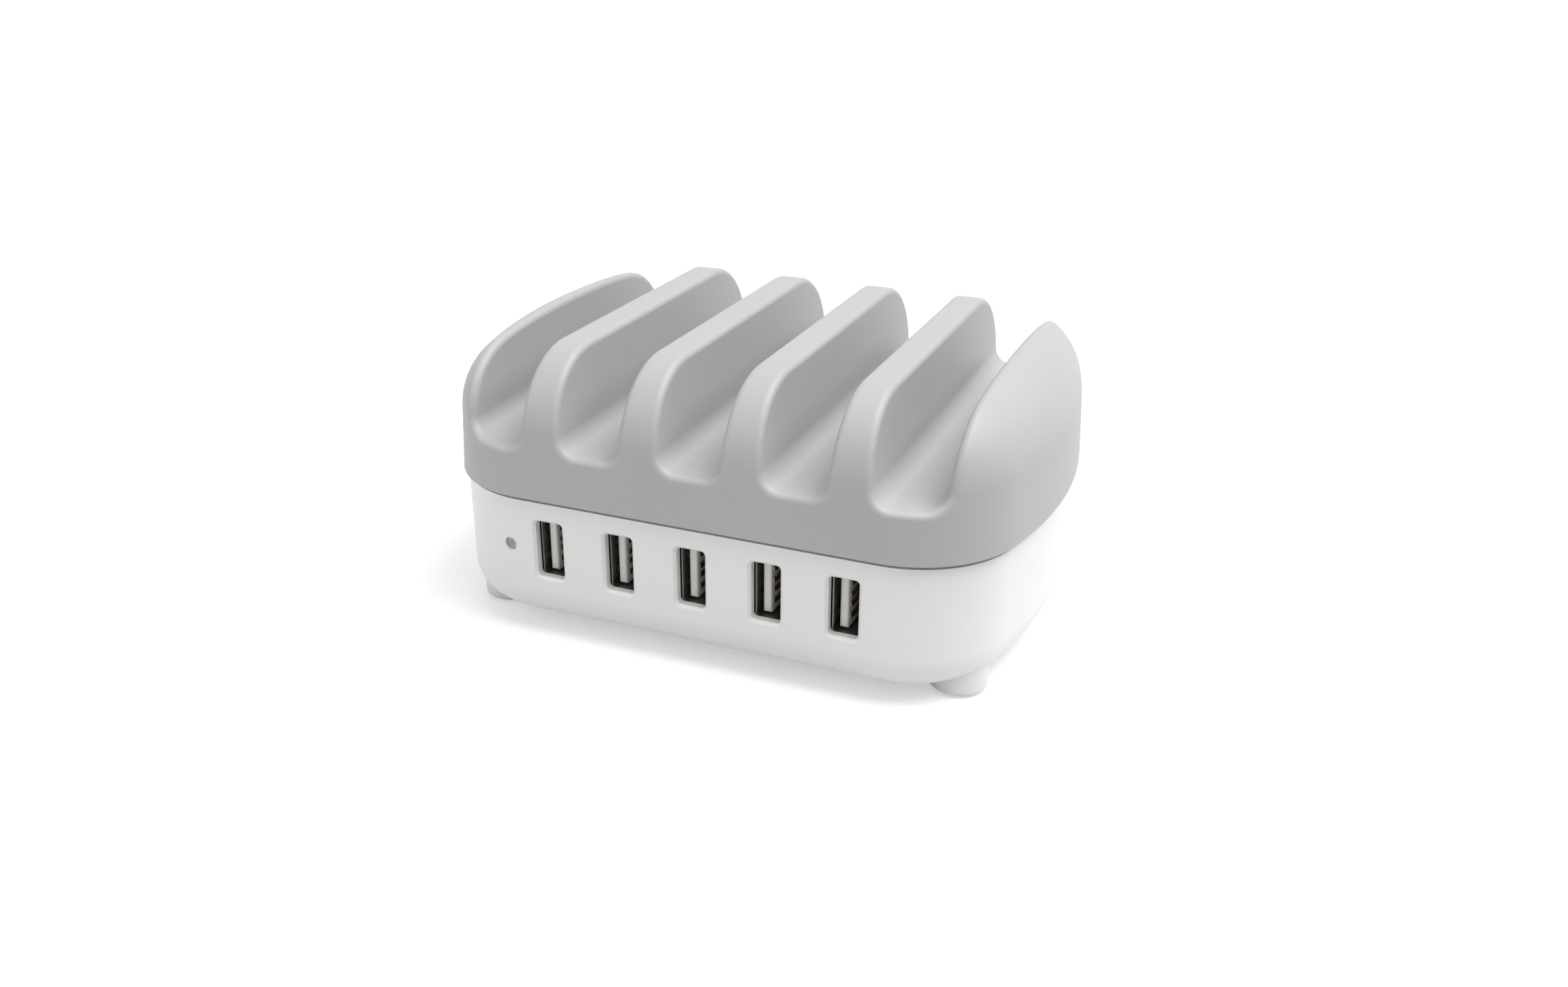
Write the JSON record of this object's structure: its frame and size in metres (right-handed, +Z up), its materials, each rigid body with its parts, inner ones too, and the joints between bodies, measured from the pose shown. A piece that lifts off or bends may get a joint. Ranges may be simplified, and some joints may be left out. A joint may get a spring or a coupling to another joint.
{
  "type": "desktop usb charger",
  "caption": "Desktop charging station: a white base with a row of upright USB sockets under a gray tray with slots that hold phones and tablets on edge.",
  "frame": {"origin": "on the desk, under the middle of the charger", "axes": "+X along the row of sockets to the right seen from the front, +Y from the front to the rear, +Z up"},
  "size_m": [0.13, 0.096, 0.0615],
  "materials": {
    "tray_plastic": "satin",
    "base_plastic": "satin",
    "foot_rubber": "matte",
    "screw_steel": "satin",
    "socket_steel": "satin",
    "socket_plastic": "matte",
    "contact_metal": "polished",
    "light_plastic": "gloss",
    "board_laminate": "satin",
    "inlet_plastic": "matte",
    "ferrite": "matte",
    "copper_wire": "gloss",
    "winding_tape": "satin",
    "heat_sink_metal": "satin",
    "can_sleeve": "gloss",
    "film_case": "satin",
    "chip_plastic": "matte"
  },
  "bodies": {
    "root": {"base_housing": "base_plastic", "board_screws": "screw_steel", "bridge_rectifier": "chip_plastic", "charge_chips": "chip_plastic", "choke_core": "ferrite", "choke_windings": "copper_wire", "foot_pad_front_left": "foot_rubber", "foot_pad_front_right": "foot_rubber", "foot_pad_rear_left": "foot_rubber", "foot_pad_rear_right": "foot_rubber", "fuse": "chip_plastic", "housing_screws": "screw_steel", "inlet_pins": "contact_metal", "light_pipe": "light_plastic", "main_board": "board_laminate", "mains_inlet": "inlet_plastic", "optocoupler": "chip_plastic", "output_capacitor_1": "can_sleeve", "output_capacitor_2": "can_sleeve", "output_capacitor_3": "can_sleeve", "output_rectifier": "chip_plastic", "power_switch": "chip_plastic", "rectifier_heat_sink": "heat_sink_metal", "reservoir_capacitor_1": "can_sleeve", "reservoir_capacitor_2": "can_sleeve", "status_lamp": "light_plastic", "supply_controller": "chip_plastic", "suppression_capacitor": "film_case", "switch_heat_sink": "heat_sink_metal", "top_tray": "tray_plastic", "transformer_bobbin": "chip_plastic", "transformer_core": "ferrite", "transformer_winding": "winding_tape", "usb_contacts_1": "contact_metal", "usb_contacts_2": "contact_metal", "usb_contacts_3": "contact_metal", "usb_contacts_4": "contact_metal", "usb_contacts_5": "contact_metal", "usb_insulator_1": "socket_plastic", "usb_insulator_2": "socket_plastic", "usb_insulator_3": "socket_plastic", "usb_insulator_4": "socket_plastic", "usb_insulator_5": "socket_plastic", "usb_shell_1": "socket_steel", "usb_shell_2": "socket_steel", "usb_shell_3": "socket_steel", "usb_shell_4": "socket_steel", "usb_shell_5": "socket_steel"}
  },
  "joints": []
}
